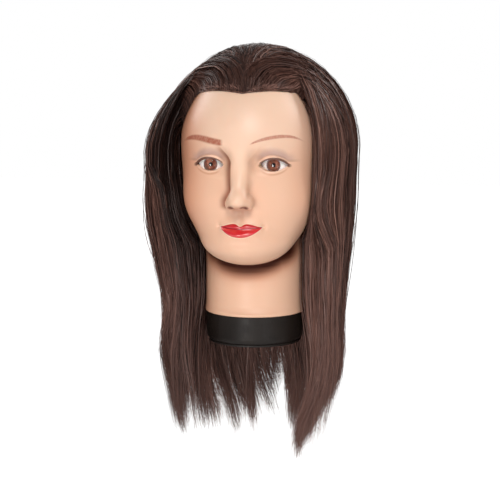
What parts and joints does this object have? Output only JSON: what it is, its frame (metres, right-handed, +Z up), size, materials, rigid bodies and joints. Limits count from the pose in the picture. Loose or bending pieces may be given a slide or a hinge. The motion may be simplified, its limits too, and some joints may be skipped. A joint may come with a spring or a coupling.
{
  "type": "mannequin training head",
  "caption": "Hairdressing practice head: foam-filled vinyl head with painted face, inset acrylic eyes, long rooted hair and a moulded neck base with a clamp bore.",
  "frame": {"origin": "centre of the clamp bore's mouth, on the underside of the neck base", "axes": "+Z up along the clamp bore, -Y the way the face looks, +X the mannequin's own left"},
  "size_m": [0.2102, 0.2203, 0.397],
  "materials": {
    "vinyl_skin": "satin soft vinyl with painted make-up",
    "foam": "rigid polyurethane foam",
    "root_glue": "matte dried glue",
    "base_plastic": "satin moulded plastic",
    "socket_plastic": "satin moulded plastic",
    "eye_acrylic": "polished acrylic",
    "iris_print": "printed disc under the cornea",
    "cornea": "clear acrylic",
    "hair": "fine dark brown hair with a soft sheen"
  },
  "bodies": {
    "root": {"head_skin": "vinyl_skin", "foam_core": "foam", "root_seal": "root_glue", "neck_base": "base_plastic", "clamp_socket": "socket_plastic", "socket_cap": "socket_plastic", "left_eye_white": "eye_acrylic", "left_iris": "iris_print", "left_cornea": "cornea", "right_eye_white": "eye_acrylic", "right_iris": "iris_print", "right_cornea": "cornea", "hairline_row": "hair", "hair_front_left": "hair", "hair_front_right": "hair", "hair_crown": "hair", "hair_side_left": "hair", "hair_side_right": "hair", "hair_back_left": "hair", "hair_back_right": "hair", "hair_nape_left": "hair", "hair_nape_right": "hair"}
  },
  "joints": []
}
